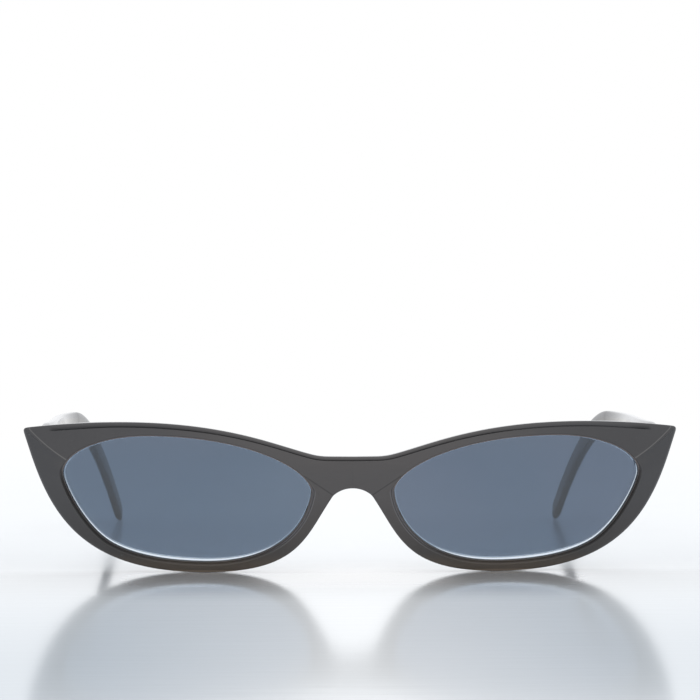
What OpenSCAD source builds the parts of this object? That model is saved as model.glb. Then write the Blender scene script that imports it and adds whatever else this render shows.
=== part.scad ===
/* [Front] */
// Width of the front from tip to tip
front_w = 138; // [134:1:142]
// Height of the front from the lower rims to the top of the brow
front_h = 31.4; // [30.4:0.2:32.4]
// Thickness of the rims from the front face to the back
rim_t = 3.9; // [3.7:0.1:4.4]
// Thickness of the solid end pieces at the hinges
end_t = 4.6; // [4.4:0.1:5]
// Radius of the bend that wraps the front round the face
wrap_r = 300; // [280:10:340]
// Lean of the front, its lower rims further back than its brow, in degrees
front_lean = 5; // [4:0.5:6]
// Width of the bevel along the brow
brow_bevel = 1.0; // [0.8:0.1:1.1]
// How far the moulded nose pads stand out behind the rims
pad_h = 4.2; // [3.4:0.2:4.8]

/* [Lenses] */
// Thickness of each lens
lens_t = 1.8; // [1.6:0.1:1.9]
// Width of the polished bevel round the front of each lens
lens_bevel = 0.65; // [0.5:0.05:0.8]
// Depth of the groove that holds a lens
groove = 1.1; // [1:0.05:1.2]

/* [Temples] */
// Reach of the temples behind the front
reach = 133; // [128:1:138]
// Thickness of a temple
arm_t = 2.7; // [2.5:0.1:2.9]
// Height of a temple at its root
root_h = 11.4; // [10.8:0.2:11.8]
// Height of a temple along its middle
arm_h = 4.8; // [4.4:0.1:5.6]
// Outward bow of a temple between its root and its ear bend
arm_bow = 2.3; // [1.7:0.1:2.6]
// Diameter of the wire core inside a temple
core_d = 1.2; // [1:0.1:1.3]
// Length of the wire core
core_len = 42; // [36:1:46]

/* [Hinges] */
// Outer diameter of the hinge barrels
barrel_d = 3; // [2.8:0.1:3.2]
// Height of the three barrels together
barrel_h = 5.8; // [5.4:0.1:6]
// Thickness of the hinge leaves
leaf_t = 0.9; // [0.8:0.05:1]
// Diameter of the hinge screw
screw_d = 1.2; // [1.1:0.05:1.3]

/* [Fits] */
// Gap between a fixed piece and the pocket that holds it
seat_fit = 0.02; // [0.01:0.01:0.04]
// Radial gap between a hinge screw and its barrels
screw_fit = 0.03; // [0.02:0.01:0.05]
// Gap between neighbouring hinge barrels
barrel_gap = 0.1; // [0.08:0.01:0.15]
// Gap between a temple and the end piece that it closes on
butt_gap = 0.3; // [0.25:0.05:0.4]

/* [Hidden] */
$fn = 48;
eps = 0.01;

// The outlines are drawn for a front of 138 by 31.4 mm, then stretched to the chosen size
stretch_x = front_w / 138;
stretch_z = front_h / 31.4;
function at(x, z) = [x * stretch_x, z * stretch_z];

// Cubic curve through its two end points, pulled towards two handles
function curve(c, t) =
  (1 - t) * (1 - t) * (1 - t) * c[0]
  + 3 * t * (1 - t) * (1 - t) * c[1]
  + 3 * t * t * (1 - t) * c[2]
  + t * t * t * c[3];
function slope(c, t) =
  3 * (1 - t) * (1 - t) * (c[1] - c[0])
  + 6 * t * (1 - t) * (c[2] - c[1])
  + 3 * t * t * (c[3] - c[2]);
// The piece of a cubic curve between two of its parameters, as a cubic curve
function part_curve(c, a, b) = [
  curve(c, a),
  curve(c, a) + slope(c, a) * (b - a) / 3,
  curve(c, b) - slope(c, b) * (b - a) / 3,
  curve(c, b)
];
function mix(a, b, t) = a + (b - a) * t;
function line(a, b) = [a, mix(a, b, 1 / 3), mix(a, b, 2 / 3), b];
// Eases from 0 to 1 as v goes from a to b
function ease(v, a, b) = let (t = max(0, min(1, (v - a) / (b - a)))) t * t * (3 - 2 * t);
function unit(v) = v / norm(v);
function turned(v) = [v[1], -v[0]];

// Corners of the half outline, from the bridge out to the tip and back under the lens to the nose
bridge_top = at(0, 24.15);
brow_start = at(6.6, 24.2);
ridge_end = at(67.5, 30.15);
tip = at(69, 29.95);
rim_low = at(31, 0);
notch = at(4, 16.1);
arch_top = at(0, 17.6);

// Lens opening, as five curves from the nose end over the top and back under
opening = [
  [at(8.7, 17.1), at(8.7, 20.65), at(19.7, 28.35), at(42.5, 28.35)],
  [at(42.5, 28.35), at(51.75, 28.35), at(60.1, 25.1), at(60.1, 20.7)],
  [at(60.1, 20.7), at(60.1, 18.55), at(55.85, 9.8), at(50.4, 6.45)],
  [at(50.4, 6.45), at(46.7, 4.18), at(40, 2.45), at(30.3, 2.45)],
  [at(30.3, 2.45), at(10.85, 2.45), at(8.7, 15.35), at(8.7, 17.1)]
];
function on_opening(u) = let (k = floor(u) % len(opening)) curve(opening[k], u - floor(u));

// Stretches of the half outline: its curve, its number of steps, the places on the lens opening
// where it starts and ends, how that place runs between them, and the width of its bevel
brow_curve = [brow_start, at(16.6, 26.2), at(29.4, 34.2), ridge_end];
side_curve = [tip, at(64.1, 14.6), at(59.5, 0), rim_low];
nose_curve = [rim_low, at(10.7, 0), at(9.9, 7.4), notch];
arch_curve = [notch, at(2.8, 17.1), at(1.5, 17.6), arch_top];
edge_bevel = 0.4;
stretches = [
  [line(bridge_top, brow_start), 3, 0.31, 0.37, 1, brow_bevel],
  [part_curve(brow_curve, 0, 0.75), 16, 0.37, 1, 1, brow_bevel],
  [part_curve(brow_curve, 0.75, 1), 8, 1, 1.76, 1, brow_bevel],
  [line(ridge_end, tip), 1, 1.76, 1.78, 1, edge_bevel],
  [part_curve(side_curve, 0, 0.5), 13, 1.78, 2.67, 1.6, edge_bevel],
  [part_curve(side_curve, 0.5, 1), 11, 2.67, 3.96, 1, edge_bevel],
  [part_curve(nose_curve, 0, 0.75), 14, 3.96, 4.62, 1, edge_bevel],
  [part_curve(nose_curve, 0.75, 1), 9, 4.62, 5.22, 1.3, edge_bevel],
  [arch_curve, 5, 5.22, 5.26, 1, edge_bevel],
  [line(arch_top, bridge_top), 4, 5.26, 5.31, 1, edge_bevel]
];

// One station for each step: outline point, opening parameter, bevel width
stations = [
  for (s = stretches)
    for (i = [0 : s[1] - 1])
      let (t = i / s[1])
        [curve(s[0], t), mix(s[2], s[3], pow(t, s[4])), s[5]]
];
count = len(stations);
outline = [for (s = stations) s[0]];
rim_edge = [for (s = stations) on_opening(s[1])];

// Inward direction at an outline point, lengthened at corners so that offset lines stay parallel.
// On the middle plane of the bridge it points straight up or down, and between the two there is none.
function edge_normal(a, b) = turned(unit(b - a));
function inward(i) =
  let (
    p = outline[i],
    last = outline[(i + count - 1) % count],
    next = outline[(i + 1) % count],
    n1 = edge_normal(last, p),
    n2 = edge_normal(p, next)
  )
  p[0] > eps ? (n1 + n2) / (1 + n1 * n2)
  : next[0] > eps ? [0, -1]
  : last[0] > eps ? [0, 1]
  : [0, 0];
// Outward direction at a point of the lens opening
function away(u) = let (h = 0.01, d = on_opening(u + h) - on_opening(u + 5 - h)) -turned(unit(d));
inwards = [for (i = [0 : count - 1]) inward(i)];
aways = [for (s = stations) away(s[1])];

// The front bends round the face like part of a large ball, and leans back towards its lower rims
mid_z = front_h / 2;
function face_y(p) =
  (p[0] * p[0] + (p[1] - mid_z) * (p[1] - mid_z)) / (2 * wrap_r) + (front_h - p[1]) * tan(front_lean);
function to_3d(p, depth) = [p[0], face_y(p) + depth, p[1]];

// Hinge axis, inboard of the tips and below the brow, and the flat back of the end piece
hinge_inset = 6.8;
hinge_drop = 5.6;
barrel_off = 0.2;
hinge_x = front_w / 2 - hinge_inset;
hinge_z = front_h - hinge_drop;
end_y = face_y([hinge_x, hinge_z]) + end_t;
axis_y = end_y + barrel_d / 2 + barrel_off;
barrel_low = hinge_z - barrel_h / 2;

// Back of the rims: it runs parallel to the face, swells into the nose pads beside the nose and
// flattens into the end pieces at the hinges
end_from = at(49, 11);
end_full = at(57, 16);
pad_low = at(16.5, 2.2);
pad_full = at(10.2, 6.8);
pad_ease = at(7.4, 10.6);
pad_high = at(4.8, 15);
function pad_share(p) =
  p[0] > pad_low[0] ? 0
  : ease(p[1], pad_low[1], pad_full[1]) * (1 - ease(p[1], pad_ease[1], pad_high[1]));
function end_share(p) = ease(p[0], end_from[0], end_full[0]) * ease(p[1], end_from[1], end_full[1]);
function back_y(p, pad) = mix(face_y(p) + rim_t + pad_h * pad, end_y, end_share(p));
function on_back(p, pad, lift) = [p[0], back_y(p, pad) - lift, p[1]];

// The face falls from the lens opening to the outline, most of all at the tips. It stays nearly
// level across the bridge, and a little crowned between its top edge and its arch.
fall_least = 0.35;
fall_rate = 0.1;
fall_width = 3.5;
tip_rate = 0.25;
tip_from = front_w / 2 - 24;
bridge_to = 11;
bridge_share = 0.5;
bridge_sink = 0.12;
bridge_crown = 0.24;
bridge_mid_z = (bridge_top[1] + arch_top[1]) / 2;
function fall(i) =
  let (
    p = outline[i],
    w = min(norm(p - rim_edge[i]), fall_width + tip_rate * max(0, p[0] - tip_from)),
    rise = (p[1] - bridge_mid_z) / (bridge_top[1] - bridge_mid_z)
  )
  inwards[i] == [0, 0] ? bridge_sink + bridge_crown * rise * rise
  : (fall_least + fall_rate * w) * mix(bridge_share, 1, ease(p[0], 0, bridge_to));
// The brow's bevel is deepest over the lenses and dies out before the tips
brow_bevel_fall = 0.6;
edge_bevel_fall = 0.22;
bevel_fade_from = front_w / 2 - 7;
bevel_fade_to = front_w / 2 - 2.5;
function bevel_fall(i) =
  stations[i][2] == edge_bevel ? edge_bevel_fall
  : mix(brow_bevel_fall, edge_bevel_fall, ease(outline[i][0], bevel_fade_from, bevel_fade_to));

// Lip in front of each lens, the seat behind it and the rounded edges
lip_wall = 0.5;
lip_round = 0.2;
edge_round = 0.14;
lens_depth = 1.1;
groove_w = lens_t + 0.1;
back_round = 0.45;
pad_round = 0.5;
back_lip = 0.15;

// Rows of one half of the frame, each a closed line round the lens
function frame_row(k) = [
  for (i = [0 : count - 1])
    let (
      edge = rim_edge[i],
      out = aways[i],
      rim = outline[i],
      inner = inwards[i],
      bevel = stations[i][2],
      low = fall(i),
      pad = pad_share(rim),
      soft = back_round + pad_round * pad
    )
    k == 0 ? to_3d(edge, lens_depth)
    : k == 1 ? to_3d(edge + lip_wall * out, edge_round)
    : k == 2 ? to_3d(edge + (lip_wall + lip_round) * out, 0)
    : k == 3 ? to_3d(rim + bevel * inner, low)
    : k == 4 ? to_3d(rim + edge_round * inner, low + bevel_fall(i))
    : k == 5 ? to_3d(rim, low + bevel_fall(i) + edge_round)
    : k == 6 ? on_back(rim, pad, soft)
    : k == 7 ? on_back(rim + soft * inner, pad, 0)
    : k == 8 ? on_back(edge + 2 * back_round * out, pad, 0)
    : k == 9 ? on_back(edge + back_lip * out, pad, back_round)
    : k == 10 ? to_3d(edge + back_lip * out, lens_depth + groove_w)
    : to_3d(edge + groove * out, lens_depth + groove_w / 2)
];
frame_rows = 12;
frame_points = [for (k = [0 : frame_rows - 1]) each frame_row(k)];

// Squares of a closed band between ring a and ring b of n points
function band(a, b, n) = [
  for (i = [0 : n - 1])
    let (j = (i + 1) % n)
      [a * n + i, a * n + j, b * n + j, b * n + i]
];
// Each square is cut into two triangles
function cut(quads) = [for (q = quads) each [[q[0], q[1], q[2]], [q[0], q[2], q[3]]]];

module half_frame() {
  polyhedron(
    points = frame_points,
    faces = cut([for (k = [0 : frame_rows - 1]) each band((k + 1) % frame_rows, k, count)]),
    convexity = 8
  );
}

// Both sides of a symmetric pair
module both_sides() {
  children();
  mirror([1, 0, 0]) children();
}
module left_side() {
  mirror([1, 0, 0]) children();
}

// Hinge leaves: each web joins its barrels to its leaf
web_w = 1.8;
leaf_set = 0.9;
front_leaf_w = 4.4;
anchor_w = 1.6;
anchor_depth = 1.5;
anchor_edge = 0.6;
anchor_trim = 0.9;
arm_leaf_len = 9.2;
stud_d = 1.1;
stud_len = 0.8;
stud_places = [0.42, 0.82];
front_leaf_x = hinge_x - barrel_d / 2 + leaf_set;
anchor_x = front_leaf_x + front_leaf_w - anchor_w - anchor_edge;
arm_inner_x = hinge_x + barrel_d / 2 + butt_gap;
arm_leaf_y = axis_y - web_w / 2;
// A pocket reaches this many fits past the face that it is open to
open_fits = 5;

// Front leaf without its barrels: a plate in the back of the end piece with an anchor rib
module front_leaf_solid(fit) {
  translate([front_leaf_x - fit, end_y - leaf_t, barrel_low - fit])
    cube([front_leaf_w + 2 * fit, leaf_t + open_fits * fit, barrel_h + 2 * fit]);
  translate([anchor_x - fit, end_y - leaf_t - anchor_depth, barrel_low + anchor_trim - fit])
    cube([anchor_w + 2 * fit, anchor_depth + eps, barrel_h - 2 * anchor_trim + 2 * fit]);
}

// Temple leaf without its barrel: a plate in the inner face of the temple with two studs
module arm_leaf_solid(fit) {
  translate([arm_inner_x - open_fits * fit, arm_leaf_y - fit, barrel_low - fit])
    cube([leaf_t + open_fits * fit, arm_leaf_len + 2 * fit, barrel_h + 2 * fit]);
  for (share = stud_places)
    translate([arm_inner_x + leaf_t - eps, arm_leaf_y + share * arm_leaf_len, hinge_z])
      rotate([0, 90, 0])
        cylinder(d = stud_d + 2 * fit, h = stud_len + eps);
}

module front_frame() {
  color([0.27, 0.26, 0.26])
    placed()
      difference() {
        both_sides() half_frame();
        both_sides() front_leaf_solid(seat_fit);
      }
}

// Lens rows from the middle of the front, over the bevelled edge, to the middle of the back
lens_middle = at(34, 16);
field = [0.3, 0.6, 0.85, 1];
lens_drop = 0.12;
edge_step = 0.05;
ridge_w = 0.1;
back_bevel = 0.3;
edge_reach = groove - ridge_w;
flank = groove_w / 2 / groove;
function lens_ring(out, depth, share) = [
  for (i = [0 : count - 1])
    let (p = rim_edge[i] + out * aways[i])
    to_3d(lens_middle + share * (p - lens_middle), depth)
];
front_depth = lens_depth - lens_drop;
seat_depth = lens_depth + seat_fit + edge_step;
back_depth = seat_depth + lens_t - 2 * edge_step;
lens_rings = concat(
  [for (s = field) lens_ring(-lens_bevel, front_depth, s)],
  [
    lens_ring(-seat_fit, seat_depth, 1),
    lens_ring(edge_reach, seat_depth + flank * edge_reach, 1),
    lens_ring(edge_reach, seat_depth + flank * edge_reach + ridge_w, 1),
    lens_ring(edge_step, back_depth, 1)
  ],
  [for (i = [1 : len(field)]) lens_ring(-back_bevel, back_depth, field[len(field) - i])]
);
lens_points = concat(
  [for (r = lens_rings) each r],
  [to_3d(lens_middle, front_depth), to_3d(lens_middle, back_depth)]
);
lens_ends = len(lens_rings) * count;
lens_last = lens_ends - count;

module lens() {
  polyhedron(
    points = lens_points,
    faces = concat(
      cut([for (k = [0 : len(lens_rings) - 2]) each band(k + 1, k, count)]),
      [for (i = [0 : count - 1]) [lens_ends, i, (i + 1) % count]],
      [for (i = [0 : count - 1]) [lens_ends + 1, lens_last + (i + 1) % count, lens_last + i]]
    ),
    convexity = 4
  );
}

module right_lens() {
  color([0.42, 0.47, 0.53, 0.75]) placed() lens();
}
module left_lens() {
  color([0.42, 0.47, 0.53, 0.75]) placed() left_side() lens();
}

// Temple: nearly straight to the ear bend, then down and inward to a rounded tip
arm_drop = 0.8;
arm_lift = 0.4;
straight_len = 70;
taper_from = 11;
taper_to = 50;
arm_top_z = front_h - arm_drop;
arm_start_y = end_y + butt_gap;
bend_y = arm_start_y + straight_len;
// The root's lower edge curves up to the end piece, so that no corner shows past the outline
root_tuck = 2.6;
tuck_from = -4;
tuck_to = 9;
function arm_half_h(y) =
  let (d = y - arm_start_y)
  (mix(root_h, arm_h, ease(d, taper_from, taper_to)) - root_tuck * (1 - ease(d, tuck_from, tuck_to))) / 2;
// The temple bows outward, then turns inward over its last stretch before the ear bend
turn_len = 16;
turn_slope = 0.14;
turn_y = bend_y - turn_len;
function arm_inner(y) =
  let (turned_len = max(0, y - turn_y))
  arm_inner_x + arm_bow * ease(y, arm_start_y + taper_from, turn_y)
  - turn_slope * turned_len * turned_len / (2 * turn_len);
bend_start = [arm_inner(bend_y), bend_y, arm_top_z + arm_lift - arm_h / 2];
// Lead of the ear bend, then the slant of its last stretch: outward, forward and upward from the tip
bend_reach = 14;
bend_lead = [-bend_reach * turn_slope, bend_reach, 0];
ear_slant = [3, -12, 15.4];
tip_inset = 6.1;
tip_back = 1.6;
function bend_curve(end_z) =
  let (end = [arm_inner_x - tip_inset, reach - tip_back, end_z])
  [bend_start, bend_start + bend_lead, end + ear_slant, end];
straight_steps = 18;
bend_steps = 22;
// Each place along the temple: a point of its inner face, the tangent, the half height and the
// share of the full section
function straight_place(t) =
  let (y = mix(arm_start_y, bend_y, t), h = arm_half_h(y))
  [[arm_inner(y), y, arm_top_z + arm_lift * t - h], [0, 1, 0], h, 1];
function bend_place(c, t) = [curve(c, t), unit(slope(c, t)), arm_h / 2, end_round(t)];
// The last stretch closes like half an ellipse, just short of a point
round_from = 0.93;
round_to = 1.004;
function end_round(t) =
  t < round_from ? 1 : sqrt(1 - pow((t - round_from) / (round_to - round_from), 2));
function arm_places(end_z) =
  let (c = bend_curve(end_z))
  concat(
    [for (i = [0 : straight_steps - 1]) straight_place(i / straight_steps)],
    [for (i = [0 : bend_steps]) bend_place(c, 1 - pow(1 - i / bend_steps, 1.25))]
  );
// Cross-section: flat on the inside, rounded over its edges and thicker above the middle at the root.
// The lower a roundness, the squarer that side.
side_points = 18;
edge_roundness = 0.7;
outer_roundness = 0.75;
inner_roundness = 0.4;
root_lean = 0.3;
function rounded(v, roundness) = sign(v) * pow(abs(v), roundness);
function section(place) =
  let (
    origin = place[0],
    up = unit([0, -place[1][2], place[1][1]]),
    h = place[2] * place[3],
    lean = root_lean * ease(place[2], arm_h / 2, root_h / 2)
  )
  [
    for (i = [0 : side_points - 1])
      let (
        a = 360 * (i + 0.5) / side_points,
        b = rounded(sin(a), edge_roundness),
        w = rounded(cos(a), cos(a) > 0 ? outer_roundness : inner_roundness),
        thin = w > 0 ? lean * (1 - b) : 0
      )
      origin + [arm_t / 2 * (1 + place[3] * w * (1 - thin)), 0, 0] + b * h * up
  ];
function arm_rings(end_z) = [for (p = arm_places(end_z)) section(p)];
// The tips are set so that they stand on the same plane as the lower rims
tip_guess = 3;
tip_low = min([for (r = arm_rings(tip_guess)) for (p = r) p[2]]);
arm_ring_list = arm_rings(tip_guess - tip_low);
arm_points = [for (r = arm_ring_list) each r];
arm_last = len(arm_ring_list) - 1;

// The model is centred front to back
front_y = min([for (p = frame_points) p[1]]);
back_end_y = max([for (p = arm_points) p[1]]);
module placed() {
  translate([0, -(front_y + back_end_y) / 2, 0]) children();
}

// The straight wire starts behind the leaf and runs along the upper part of the temple
core_wall = 2;
core_from = arm_leaf_y + arm_leaf_len + core_wall;
function core_z(y) = arm_top_z - arm_h / 2 + arm_lift * (y - arm_start_y) / straight_len;
function core_point(y) = [arm_inner(y) + arm_t / 2, y, core_z(y)];
core_a = core_point(core_from);
core_dir = unit(core_point(core_from + core_len) - core_a);
module core_solid(fit) {
  translate(core_a)
    rotate([-acos(core_dir[2]), 0, -atan2(core_dir[0], core_dir[1])])
      cylinder(d = core_d + 2 * fit, h = core_len + fit);
}

module temple() {
  difference() {
    polyhedron(
      points = arm_points,
      faces = concat(
        cut([for (k = [0 : arm_last - 1]) each band(k, k + 1, side_points)]),
        [[for (i = [side_points - 1 : -1 : 0]) i]],
        [[for (i = [0 : side_points - 1]) arm_last * side_points + i]]
      ),
      convexity = 6
    );
    arm_leaf_solid(seat_fit);
    core_solid(seat_fit);
  }
}

module right_temple() {
  color([0.27, 0.26, 0.26]) placed() temple();
}
module left_temple() {
  color([0.27, 0.26, 0.26]) placed() left_side() temple();
}
module right_core_wire() {
  color([0.72, 0.72, 0.7]) placed() core_solid(0);
}
module left_core_wire() {
  color([0.72, 0.72, 0.7]) placed() left_side() core_solid(0);
}

// Hinge barrels, from the lowest: front leaf, temple leaf, front leaf
knuckle_h = (barrel_h - 2 * barrel_gap) / 3;
head_d = 2.1;
head_h = 0.6;
bore_d = screw_d + 2 * screw_fit;
head_bore_d = head_d + 2 * screw_fit;
slot_w = 0.35;
slot_depth = 0.25;
function knuckle_z(k) = barrel_low + k * (knuckle_h + barrel_gap);

module knuckle(k) {
  translate([hinge_x, axis_y, knuckle_z(k)]) cylinder(d = barrel_d, h = knuckle_h);
}

module front_hinge() {
  difference() {
    union() {
      front_leaf_solid(0);
      for (k = [0, 2]) {
        knuckle(k);
        translate([front_leaf_x, end_y - eps, knuckle_z(k)])
          cube([web_w, axis_y - end_y + eps, knuckle_h]);
      }
    }
    translate([hinge_x, axis_y, barrel_low - 1]) cylinder(d = bore_d, h = barrel_h + 2);
    translate([hinge_x, axis_y, barrel_low + barrel_h - head_h]) cylinder(d = head_bore_d, h = head_h + 1);
  }
}

module temple_hinge() {
  difference() {
    union() {
      arm_leaf_solid(0);
      knuckle(1);
      translate([hinge_x, arm_leaf_y, knuckle_z(1)]) cube([arm_inner_x - hinge_x + eps, web_w, knuckle_h]);
    }
    translate([hinge_x, axis_y, barrel_low - 1]) cylinder(d = bore_d, h = barrel_h + 2);
  }
}

module hinge_screw() {
  translate([hinge_x, axis_y, barrel_low])
    difference() {
      union() {
        cylinder(d = screw_d, h = barrel_h - head_h + eps);
        translate([0, 0, barrel_h - head_h]) cylinder(d = head_d, h = head_h);
      }
      translate([-head_d, -slot_w / 2, barrel_h - slot_depth]) cube([2 * head_d, slot_w, slot_depth + 1]);
    }
}

module right_front_hinge() {
  color([0.75, 0.74, 0.7]) placed() front_hinge();
}
module left_front_hinge() {
  color([0.75, 0.74, 0.7]) placed() left_side() front_hinge();
}
module right_temple_hinge() {
  color([0.75, 0.74, 0.7]) placed() temple_hinge();
}
module left_temple_hinge() {
  color([0.75, 0.74, 0.7]) placed() left_side() temple_hinge();
}
module right_hinge_screw() {
  color([0.8, 0.8, 0.8]) placed() hinge_screw();
}
module left_hinge_screw() {
  color([0.8, 0.8, 0.8]) placed() left_side() hinge_screw();
}

front_frame();
left_lens();
right_lens();
left_temple();
right_temple();
left_front_hinge();
right_front_hinge();
left_temple_hinge();
right_temple_hinge();
left_hinge_screw();
right_hinge_screw();
left_core_wire();
right_core_wire();
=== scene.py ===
# %% [markdown]
# # Slim cat-eye sunglasses
# A pair of sunglasses stands folded open on a glossy white table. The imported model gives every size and
# place, so it is loaded first and stays fixed. The pieces made here are finer skins of the same solids:
# the moulded front, the two tinted lenses and the two temples. The hinges, their screws and the core
# wires keep their solids and get a metal finish.

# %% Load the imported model
import math

import bmesh
import bpy
import numpy as np
from mathutils import Matrix, Vector


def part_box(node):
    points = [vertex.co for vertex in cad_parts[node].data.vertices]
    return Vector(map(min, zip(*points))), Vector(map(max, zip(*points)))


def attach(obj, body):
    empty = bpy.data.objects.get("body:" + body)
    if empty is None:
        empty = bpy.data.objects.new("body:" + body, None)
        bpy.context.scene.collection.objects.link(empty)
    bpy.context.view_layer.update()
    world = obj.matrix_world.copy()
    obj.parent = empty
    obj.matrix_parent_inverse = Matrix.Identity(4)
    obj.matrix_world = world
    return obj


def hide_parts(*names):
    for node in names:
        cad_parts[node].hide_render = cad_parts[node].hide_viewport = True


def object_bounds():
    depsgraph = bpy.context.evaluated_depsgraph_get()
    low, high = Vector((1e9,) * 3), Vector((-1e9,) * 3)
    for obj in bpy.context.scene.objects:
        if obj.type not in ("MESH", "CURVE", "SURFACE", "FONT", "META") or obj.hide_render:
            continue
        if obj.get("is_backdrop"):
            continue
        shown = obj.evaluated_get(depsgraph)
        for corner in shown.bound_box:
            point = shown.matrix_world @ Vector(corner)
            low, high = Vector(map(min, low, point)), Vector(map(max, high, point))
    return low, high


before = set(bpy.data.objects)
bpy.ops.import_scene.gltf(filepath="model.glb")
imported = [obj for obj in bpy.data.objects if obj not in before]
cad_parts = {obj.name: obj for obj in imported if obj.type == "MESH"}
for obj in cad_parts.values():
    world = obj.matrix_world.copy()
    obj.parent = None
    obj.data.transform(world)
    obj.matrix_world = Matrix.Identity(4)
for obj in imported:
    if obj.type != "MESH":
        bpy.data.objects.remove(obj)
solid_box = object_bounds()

scene = bpy.context.scene

# %% [markdown]
# ## The shapes behind the solids
# The whole front follows a few curves: the outline from the bridge to the tip and back to the nose, and
# the oval of the lens opening. They could be traced as hundreds of points. Cubic curves are used because
# four points each are enough, they stay smooth, and they can be sampled as finely as needed. They are
# drawn in millimetres on the plane of the front, x sideways and z up.

# %% Curves of the outline
def at(x, z):
    """A drawn point."""
    return np.array([x, z], float)


def cubic(c, t):
    """Points of a cubic curve through c[0] and c[3], pulled towards c[1] and c[2]."""
    t = np.asarray(t, float)[..., None]
    return (1 - t) ** 3 * c[0] + 3 * t * (1 - t) ** 2 * c[1] + 3 * t**2 * (1 - t) * c[2] + t**3 * c[3]


def ease(v, a, b):
    """Runs smoothly from 0 to 1 as v goes from a to b."""
    t = np.clip((v - a) / (b - a), 0, 1)
    return t * t * (3 - 2 * t)


def straight(a, b):
    """A straight line, written as a cubic curve."""
    return [a, a + (b - a) / 3, a + (b - a) * 2 / 3, b]


BRIDGE_TOP, BROW_START = at(0, 24.15), at(6.6, 24.2)
RIDGE_END, TIP = at(67.5, 30.15), at(69, 29.95)
RIM_LOW, NOTCH, ARCH_TOP = at(31, 0), at(4, 16.1), at(0, 17.6)
BROW = [BROW_START, at(16.6, 26.2), at(29.4, 34.2), RIDGE_END]
SIDE = [TIP, at(64.1, 14.6), at(59.5, 0), RIM_LOW]
NOSE = [RIM_LOW, at(10.7, 0), at(9.9, 7.4), NOTCH]
ARCH = [NOTCH, at(2.8, 17.1), at(1.5, 17.6), ARCH_TOP]
OPENING = [
    [at(8.7, 17.1), at(8.7, 20.65), at(19.7, 28.35), at(42.5, 28.35)],
    [at(42.5, 28.35), at(51.75, 28.35), at(60.1, 25.1), at(60.1, 20.7)],
    [at(60.1, 20.7), at(60.1, 18.55), at(55.85, 9.8), at(50.4, 6.45)],
    [at(50.4, 6.45), at(46.7, 4.18), at(40, 2.45), at(30.3, 2.45)],
    [at(30.3, 2.45), at(10.85, 2.45), at(8.7, 15.35), at(8.7, 17.1)],
]
LAP = len(OPENING)


def opening_point(u):
    """A point of the lens opening; u runs from 0 to LAP once round it."""
    u = np.mod(np.asarray(u, float), LAP)
    k = np.minimum(u.astype(int), LAP - 1)
    pieces = np.array([cubic(c, u - k) for c in OPENING])
    return pieces[k, np.arange(len(u))]


def opening_out(u, step=0.01):
    """The direction that points away from the lens, in the plane of the front."""
    d = opening_point(np.asarray(u) + step) - opening_point(np.asarray(u) - step)
    d /= np.linalg.norm(d, axis=1)[:, None]
    return np.stack([-d[:, 1], d[:, 0]], 1)


print("lens opening, mm:", np.ptp(opening_point(np.linspace(0, LAP, 400)), axis=0).round(2))

# %% [markdown]
# ## From the flat drawing to the wrapped front
# A real front isn't flat: it bends round the face and its lower rims lean back. A modifier could bend a
# flat model, but the lenses and temples have to meet it exactly. So one function gives the depth of the
# front face for any drawn point, and everything else is measured from it. The place of the whole model
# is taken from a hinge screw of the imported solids, so the new skins can't drift off them.

# %% Depth of the face
FRONT_H, RIM_T, END_T, PAD_DEEP = 31.4, 3.9, 4.6, 4.2
WRAP_R, LEAN = 300, math.tan(math.radians(5))
HINGE, BARREL_R, BARREL_OFF = at(62.2, 25.8), 1.5, 0.2
MM_PER_M = 1000


def face_y(p):
    """Depth of the front face at a drawn point."""
    p = np.asarray(p, float)
    x, z = p[..., 0], p[..., 1]
    return (x * x + (z - FRONT_H / 2) ** 2) / (2 * WRAP_R) + (FRONT_H - z) * LEAN


END_Y = float(face_y(HINGE)) + END_T
AXIS_Y = END_Y + BARREL_R + BARREL_OFF
screw_low, screw_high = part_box("right_hinge_screw")
SHIFT_Y = (screw_low.y + screw_high.y) / 2 * MM_PER_M - AXIS_Y
print("the model is set", round(SHIFT_Y, 3), "mm back to front")


def metres(points):
    """Drawn millimetres to the metres of the shared frame."""
    return (np.asarray(points, float) + [0, SHIFT_Y, 0]) / MM_PER_M


# %% [markdown]
# ## Stations round one half of the front
# The real front is one moulding with crisp creases. It could be sculpted or cut from a block, but a loft
# gives each crease its exact place: at each station a profile runs from the lens opening over the face to
# the outline, round the back and home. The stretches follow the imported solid, with about four stations to
# each of its own. Extra ones stand close to the corners, so that creases stay crisp under smooth shading.

# %% Stations of the front
def part_of(c, a, b):
    """The piece of a cubic curve between two of its parameters."""
    h = 1e-4
    pa, pb = cubic(c, a), cubic(c, b)
    da, db = [(cubic(c, t + h) - cubic(c, t - h)) / (2 * h) * (b - a) / 3 for t in (a, b)]
    return [pa, pa + da, pb - db, pb]


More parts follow.
